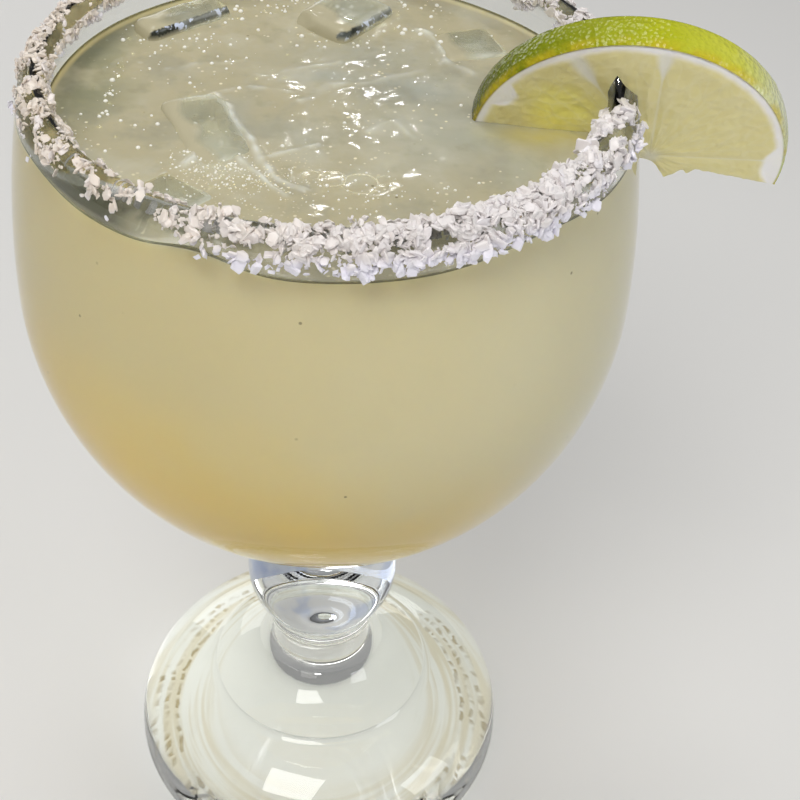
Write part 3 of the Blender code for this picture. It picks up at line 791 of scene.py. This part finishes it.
lime_finish, place, surface = finish("fresh_lime")
local = place.node("Mapping", {"vector_type": "TEXTURE"}, {
    "Vector": place, "Location": LIME_CENTRE, "Rotation": LIME_TILT.to_euler()})
x, y, z = local.parts()
radius = length(x, z)
round_turn = z.math("ARCTAN2", x)
out_x, out_z = x - LIME_CORE[0], z - LIME_CORE[1]
core_turn = out_z.math("ARCTAN2", out_x)
core_far = length(out_x, out_z)
membrane = None
for degrees in MEMBRANES:
    cosine, sine = math.cos(math.radians(degrees)), math.sin(math.radians(degrees))
    along = out_x * cosine + out_z * sine
    off = (out_x * sine - out_z * cosine).math("ABSOLUTE")
    width = along.rise(19.0 * MM, 26.0 * MM) * (1.7 * MM) + 0.28 * MM
    strip = (1 - (off / width).rise(0.2, 1.2)) * along.rise(0.0, 0.5 * MM)
    strip = strip * (0.30 + along.rise(17.0 * MM, 22.5 * MM) * 0.70)
    membrane = strip if membrane is None else membrane.math("MAXIMUM", strip)
wobble = (local.noise(160.0, 2.0) - 0.5) * (1.3 * MM)
left_end = 1 - ((round_turn - LEFT_PITH) * (round_turn - LEFT_PITH)).rise(0.0, 0.016)
right_end = 1 - ((round_turn - RIGHT_PITH) * (round_turn - RIGHT_PITH)).rise(0.0, 0.040)
pith_edge = 26.7 * MM - left_end * (2.7 * MM) - right_end * (2.0 * MM) + wobble
pith = (radius - pith_edge).rise(-0.9 * MM, 0.5 * MM)
rind = radius.rise(27.55 * MM, 28.0 * MM)
fibre = place.node("CombineXYZ", None, {0: core_turn * 7.0, 1: core_far * 190.0})
sacs = place.node("TexVoronoi", None, {"Vector": fibre, "Scale": 1.3})
sac_edge = place.node("TexVoronoi", {"feature": "DISTANCE_TO_EDGE"},
                      {"Vector": fibre, "Scale": 1.3})
from_left = length(x + 14.0 * MM, z - 8.5 * MM)
juicy = 1 - from_left.rise(2.0 * MM, 9.5 * MM)
pulp_tone = juicy.tint((0.785, 0.710, 0.340, 1), (0.940, 0.870, 0.240, 1))
pulp_tone = (sacs.rise(0.2, 0.9) * 0.25).tint(pulp_tone, (0.800, 0.750, 0.480, 1))
pulp_tone = ((1 - sac_edge.rise(0.0, 0.12)) * 0.10).tint(pulp_tone, (0.84, 0.81, 0.58, 1))
core_glow = 1 - core_far.rise(0.3 * MM, 3.0 * MM)
white = membrane.math("MAXIMUM", core_glow * 0.75)
flesh = white.tint(pulp_tone, (0.84, 0.82, 0.70, 1))
flesh = pith.tint(flesh, (0.95, 0.93, 0.92, 1))
away = length(*place.parts()[:2])
# Painted shade: the walls of the slit are painted dark.
shaded_slit = (away.rise(47.6 * MM, 47.9 * MM) * (1 - away.rise(53.4 * MM, 53.7 * MM))
           * y.rise(0.4 * MM, 1.4 * MM) * (1 - y.rise(6.0 * MM, 6.3 * MM)))
flesh = (shaded_slit * 0.95).tint(flesh, (0.040, 0.044, 0.018, 1))
mottle = local.noise(210.0, 4.0)
# The rind round the slice: a painted pale sheen of reflected light towards the right end, and
# darker towards the left end.
around = (round_turn / math.pi + (mottle - 0.5) * 0.12)
green = around.node("ValToRGB", {"stops": [
    (0.0, (0.46, 0.54, 0.14, 1)), (0.2, (0.72, 0.74, 0.52, 1)), (0.38, (0.58, 0.59, 0.06, 1)),
    (0.52, (0.43, 0.46, 0.006, 1)), (0.76, (0.20, 0.24, 0.003, 1)),
    (1.0, (0.045, 0.060, 0.004, 1))]}, {0: around})
front_edge = 1 - y.rise(0.2 * MM, 2.2 * MM)
green = (front_edge * mottle.rise(0.35, 0.6) * 0.7).tint(green, (0.60, 0.47, 0.02, 1))
pores = place.node("TexVoronoi", None, {"Vector": local, "Scale": 1150.0})
green = ((1 - pores.rise(0.05, 0.4)) * 0.30).tint(green, (0.50, 0.52, 0.06, 1))
colour = rind.tint(flesh, green)
skin = pores * 1.1 + local.noise(420.0, 2.0) * 1.2
relief = rind * skin + (1 - rind) * (sacs * 0.5 + local.noise(900.0, 2.0) * 0.4)
show(place.node("BsdfPrincipled", None, {
    "Base Color": colour, "Roughness": 0.30 - rind * 0.14 + pith * (1 - rind) * 0.25,
    "IOR": 1.40, "Coat Weight": (1 - pith) * 0.22, "Coat Roughness": 0.10,
    "Subsurface Weight": 0.25, "Subsurface Radius": (1.0, 0.9, 0.5),
    "Subsurface Scale": 1.2 * MM, "Normal": place.bump(relief, 0.42, 0.5 * MM)}), surface)
lime.data.materials.append(lime_finish)
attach(lime, "root")
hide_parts("lime_slice")

# Coarse salt sticks to the wetted rim: flat flakes and broken crystals, a few layers deep. It
# is thickest at the front and its right, where clumps hang down the outside.
SALT_SEED = 5
SALT_COARSE, SALT_FINE = 2600, 4200
SALT_DROP_OUT, SALT_DROP_IN = 3.3 * MM, 2.2 * MM
LIME_AT, BARE_INSIDE, BARE_OUTSIDE = -5.6, 6.5, 3.5


def lip_place(along):
    """A point on the lip and its normal, by the distance from the outside inwards."""
    half, arc_length = WALL / 2, math.pi * WALL / 2
    if along < 0:
        return Vector((outer_wall(lip_base + along), 0, lip_base + along)), Vector((1, 0, 0))
    if along > arc_length:
        height = lip_base - (along - arc_length)
        return Vector((inner_wall(height), 0, height)), Vector((-1, 0, 0))
    normal = Vector((math.cos(along / half), 0, math.sin(along / half)))
    return Vector((RIM_RADIUS - half, 0, lip_base)) + normal * half, normal


def taken_shape():
    """The active primitive's points and faces. The primitive itself is thrown away."""
    piece = bpy.context.object
    points = points_of(piece)
    faces = [tuple(face.vertices) for face in piece.data.polygons]
    bpy.data.objects.remove(piece, do_unlink=True)
    return points, faces


def crystal(rng, fine):
    """One broken salt flake: a small block, bevelled if it is a coarse one, and uneven."""
    bpy.ops.object.select_all(action="DESELECT")
    bpy.ops.mesh.primitive_cube_add(size=2.0)
    piece = bpy.context.object
    if not fine:
        edit(piece, (bpy.ops.mesh.bevel, dict(offset=rng.uniform(0.3, 0.7), segments=1,
                                              affect="EDGES")))
    points, faces = taken_shape()
    uneven = 0.42 if fine else 0.27
    points += np.array([[rng.uniform(-uneven, uneven) for _ in range(3)] for _ in points])
    points *= [rng.uniform(0.75, 1.15), rng.uniform(0.5, 0.9), rng.uniform(0.16, 0.42)]
    return points, faces


def salt_weight(degrees, share):
    """How likely a crystal is at this place of the rim, from 0 to 1."""
    def near(middle, width):
        away = (degrees - middle + 180) % 360 - 180
        return math.exp(-(away / width) ** 2)
    outer = 0.55 + 0.45 * near(-62, 40) + 0.3 * near(172, 30) - 0.15 * near(-130, 25)
    low = 0.04 + 0.85 * near(-70, 27) + 0.45 * near(-18, 14) + 0.15 * near(180, 25)
    crown = 0.13 + 0.60 * near(-38, 26) + 0.55 * near(175, 25) + 0.3 * near(60, 60)
    inner = 0.45 + 0.50 * near(-55, 45) + 0.45 * near(175, 40) + 0.3 * near(70, 60)
    marks = (0.0, low * 0.35), (0.20, low), (0.38, outer), (0.52, outer), (0.63, crown), \
            (0.74, crown * 0.8), (0.84, inner), (0.95, inner * 0.8), (1.0, 0.1)
    return float(np.interp(share, [mark[0] for mark in marks], [mark[1] for mark in marks]))


rng = random.Random(SALT_SEED)
coarse = [crystal(rng, False) for _ in range(14)]
fine = [crystal(rng, True) for _ in range(14)]
arc_length = math.pi * WALL / 2
all_points, all_faces, tints = [], [], []
placed = start = 0
while placed < SALT_COARSE + SALT_FINE:
    degrees, share = rng.uniform(-180, 180), rng.random()
    if rng.random() > salt_weight(degrees, share):
        continue
    clump = noise.noise(Vector((degrees * 0.16, share * 5.0, 1.0)))
    front = math.exp(-((degrees + 62) / 34) ** 2)
    if clump < -0.16 - 0.30 * front + 0.25 * rng.random():
        continue
    if abs((degrees - LIME_AT + 180) % 360 - 180) < (BARE_INSIDE if share > 0.3 else BARE_OUTSIDE):
        continue
    along = -SALT_DROP_OUT + share * (SALT_DROP_OUT + arc_length + SALT_DROP_IN)
    spot, normal = lip_place(along)
    kinds = coarse if placed < SALT_COARSE else fine
    size = (rng.uniform(0.50, 1.20) if kinds is coarse else rng.uniform(0.20, 0.50)) * MM
    size *= 1 - 0.28 * math.exp(-((abs(degrees) - 175) / 50) ** 2)
    lift = size * rng.uniform(0.15, 0.75) + max(clump, 0.0) * rng.random() * 2.2 * MM
    turn = Matrix.Rotation(math.radians(degrees), 3, "Z")
    spin = normal.to_track_quat("Z", "Y").to_matrix()
    spin = spin @ Matrix.Rotation(rng.uniform(0, math.tau), 3, "Z")
    tilt = Matrix.Rotation(rng.gauss(0, 0.7), 3, "X") @ Matrix.Rotation(rng.gauss(0, 0.5), 3, "Y")
    shape, faces = kinds[rng.randrange(len(kinds))]
    placement = np.array(turn @ spin @ tilt) * size
    centre = np.array(turn @ (spot + normal * lift))
    all_points.append(shape @ placement.T + centre)
    all_faces += [tuple(index + start for index in face) for face in faces]
    tints.append(np.full(len(shape), rng.random()))
    start += len(shape)
    placed += 1
salt = mesh_piece("rim_salt", np.concatenate(all_points), (), all_faces)
store(salt, "tint", np.concatenate(tints))
edit(salt, (bpy.ops.mesh.normals_make_consistent, dict(inside=False)))

salt_finish, place, surface = finish("coarse_salt")
tint = place.stored("tint")
x, y, z = place.parts()
warm = (x * -18.0 + tint * 0.5).rise(-0.2, 1.1)
colour = warm.tint((0.84, 0.795, 0.785, 1), (0.82, 0.73, 0.64, 1))
colour = (tint.rise(0.6, 1.0) * 0.4).tint(colour, (0.80, 0.78, 0.86, 1))
colour = (1 - z.rise(180.5 * MM, 183.0 * MM)).tint(colour, (0.86, 0.84, 0.93, 1))
grain = place.noise(1400.0, 2.0)
show(place.node("BsdfPrincipled", None, {
    "Base Color": colour, "Roughness": grain * 0.3 + 0.2, "IOR": 1.54,
    "Subsurface Weight": 0.3, "Subsurface Radius": (1.0, 1.0, 1.0),
    "Subsurface Scale": 0.4 * MM, "Normal": place.bump(grain, 0.3, 0.2 * MM)}), surface)
salt.data.materials.append(salt_finish)
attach(salt, "root")

# Bubbles and froth on the drink: small domes of liquid film, in chains by the wall and in a patch
# of froth over the near cube. The white froth domes are also painted highlights for the bubbles'
# glints. Of four large ones only the thin ring on the surface shows.
BUBBLE_SEED = 9
FROTH_AND_GLINT_SHARE = 0.65
PATCHES = (
    # middle, spread in mm, how many, smallest and largest radius in mm
    ((-39.5, 7.0), (1.3, 8.5), 46, 0.12, 0.55),
    ((-17.5, -18.5), (4.6, 3.8), 190, 0.08, 0.26),
    ((6.0, -25.5), (9.0, 4.0), 110, 0.10, 0.30),
    ((15.5, 32.5), (4.5, 2.0), 22, 0.25, 0.60),
    ((-26.0, 22.0), (8.0, 4.0), 40, 0.12, 0.40),
    ((-44.0, -12.0), (2.0, 6.0), 26, 0.12, 0.40),
    ((30.0, 12.0), (8.0, 9.0), 26, 0.12, 0.38),
    ((0.0, 5.0), (26.0, 22.0), 70, 0.08, 0.42),
    ((-29.0, 26.0), (7.0, 2.5), 36, 0.15, 0.50),
    ((3.0, 27.0), (5.0, 3.0), 30, 0.15, 0.50),
    ((-12.0, -21.0), (4.0, 3.5), 160, 0.07, 0.22),
    ((-24.0, -17.0), (2.0, 4.0), 60, 0.10, 0.35),
    ((-19.0, -22.0), (5.0, 4.0), 120, 0.08, 0.26),
    ((-30.0, 4.0), (8.0, 8.0), 40, 0.12, 0.45),
    ((5.0, 41.0), (10.0, 2.5), 70, 0.15, 0.50),
    ((-20.0, 38.0), (8.0, 3.0), 40, 0.15, 0.50),
)
LARGE_BUBBLES = ((0.6, -21.2, 2.3), (5.3, -22.4, 3.0), (-3.0, -20.2, 1.5), (9.3, -21.0, 1.3))

rng = random.Random(BUBBLE_SEED)
spots = []
for (mid_x, mid_y), (wide, deep), count, small, large in PATCHES:
    for _ in range(count):
        x, y = rng.gauss(mid_x, wide) * MM, rng.gauss(mid_y, deep) * MM
        size = (small + (large - small) * rng.random() ** 2) * MM
        if math.hypot(x, y) < inner_wall(LEVEL) - 1.2 * MM and not (x > 22 * MM and y < 3 * MM
                                                                  and y > -14 * MM):
            spots.append((x, y, size))
bpy.ops.object.select_all(action="DESELECT")
bpy.ops.mesh.primitive_ico_sphere_add(subdivisions=2, radius=1.0)
dome_points, dome_faces = taken_shape()
all_points, all_faces, foam_shares, start = [], [], [], 0
for x, y, size in spots:
    centre = np.array((x, y, surface_height(x, y) + size * 0.19))
    all_points.append(dome_points * (size, size, size * 0.75) + centre)
    foam_shares.append(np.full(len(dome_points), 0.95 if rng.random() < FROTH_AND_GLINT_SHARE else 0.0))
    all_faces += [tuple(index + start for index in face) for face in dome_faces]
    start += len(dome_points)
bpy.ops.object.select_all(action="DESELECT")
bpy.ops.mesh.primitive_torus_add(major_segments=40, minor_segments=6, minor_radius=0.038)
ring_points, ring_faces = taken_shape()
for x, y, size in LARGE_BUBBLES:
    x, y = x * MM, y * MM
    centre = np.array((x, y, surface_height(x, y) + 0.05 * MM))
    all_points.append(ring_points * size * MM + centre)
    foam_shares.append(np.full(len(ring_points), 0.20))
    all_faces += [tuple(index + start for index in face) for face in ring_faces]
    start += len(ring_points)
bubbles = mesh_piece("bubbles", np.concatenate(all_points), (), all_faces)
store(bubbles, "foam", np.concatenate(foam_shares))
only(bubbles)
bpy.ops.object.shade_smooth()
bubble_finish, place, surface = finish("bubble_film")
blotch = place.noise(700.0, 2.0)
film = place.node("BsdfPrincipled", None, {
    "Base Color": blotch.tint((0.98, 0.96, 0.88, 1), (0.92, 0.92, 0.84, 1)),
    "Roughness": blotch * 0.04 + 0.01, "IOR": 1.36, "Transmission Weight": 1.0})
# Painted highlights: white froth that also stands in for glints.
froth_and_glints = place.node("BsdfPrincipled", None, {
    "Base Color": blotch.tint((0.95, 0.93, 0.82, 1), (0.98, 0.97, 0.94, 1)), "Roughness": 0.15})
film = place.node("MixShader", None, {0: place.stored("foam"), 1: film, 2: froth_and_glints})
let_lamps_through(film, surface, (0.85, 0.85, 0.80, 1))
bubbles.data.materials.append(bubble_finish)
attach(bubbles, "root")

# The table is a plain pale surface, and the light is soft: a large lamp in front, one overhead,
# and fills from the right, from low in front and from behind. A small one draws the glints.
bpy.ops.object.select_all(action="DESELECT")
bpy.ops.mesh.primitive_plane_add(size=6.0)
floor = bpy.context.object
floor.name = floor.data.name = "floor"
floor_finish, place, surface = finish("pale_floor")
mist = place.noise(3.0, 2.0)
show(place.node("BsdfPrincipled", None, {
    "Base Color": mist.tint((0.78, 0.775, 0.76, 1), (0.80, 0.795, 0.78, 1)),
    "Roughness": 0.6}), surface)
floor.data.materials.append(floor_finish)
floor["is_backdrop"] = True


def lamp(name, place, target, size, power, colour):
    """A soft rectangular lamp, of a width and height, that faces a point."""
    light = bpy.data.lights.new(name, "AREA")
    light.shape = "RECTANGLE"
    light.size, light.size_y = size
    light.energy, light.color = power, colour
    made = bpy.data.objects.new(name, light)
    bpy.context.scene.collection.objects.link(made)
    made.location = place
    made.rotation_euler = (Vector(target) - Vector(place)).to_track_quat("-Z", "Y").to_euler()


bowl_middle = (0.0, 0.0, 0.15)
lamp("key", (-0.22, -0.55, 0.95), bowl_middle, (0.45, 0.45), 4.6, (1.0, 0.985, 0.96))
lamp("top", (-0.08, 0.22, 1.05), bowl_middle, (0.40, 0.40), 2.4, (1.0, 0.99, 0.97))
lamp("right_fill", (0.80, -0.35, 0.45), bowl_middle, (0.40, 0.40), 2.0, (0.95, 0.97, 1.0))
lamp("low_fill", (-0.35, -0.90, 0.16), (0.0, 0.0, 0.09), (0.5, 0.3), 0.8, (1.0, 0.98, 0.94))
lamp("back_fill", (-0.35, 0.95, 0.28), bowl_middle, (0.50, 0.50), 1.3, (1.0, 0.99, 0.97))
lamp("glint", (0.014, 0.60, 0.516), (0.004, 0.005, 0.175), (0.030, 0.005), 0.05, (1.0, 1.0, 1.0))
world = bpy.data.worlds.new("studio")
world.use_nodes = True
bpy.context.scene.world = world
background = world.node_tree.nodes["Background"]
sky = Wire(world.node_tree).node("TexCoord", None, None, 0)
height = sky.parts()[2]
tone = height.node("ValToRGB", {"stops": [
    (0.0, (0.16, 0.16, 0.16, 1)), (0.25, (0.34, 0.34, 0.34, 1)), (1.0, (0.80, 0.80, 0.80, 1))]},
    {0: height})
world.node_tree.links.new(tone.socket, background.inputs["Color"])
background.inputs["Strength"].default_value = 0.5
bpy.context.scene.view_settings.view_transform = "Standard"

# The view looks down on the drink from in front, and the goblet stands a little to the left of
# the picture's middle.
CAMERA_PLACE, FOCAL_LENGTH = (0.0, -0.235138, 0.3126), 67.518
FORWARD = Vector((0.049916, 0.752916, -0.656221))
UPWARD = Vector((-0.016401, 0.657570, 0.753215))
camera = bpy.data.objects.new("camera", bpy.data.cameras.new("camera"))
bpy.context.scene.collection.objects.link(camera)
camera.data.sensor_width = 36.0
camera.data.lens = FOCAL_LENGTH
camera.data.clip_start = 0.01
camera.location = CAMERA_PLACE
camera.rotation_euler = Matrix((FORWARD.cross(UPWARD), UPWARD, -FORWARD)).transposed().to_euler()
bpy.context.scene.camera = camera

low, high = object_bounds()
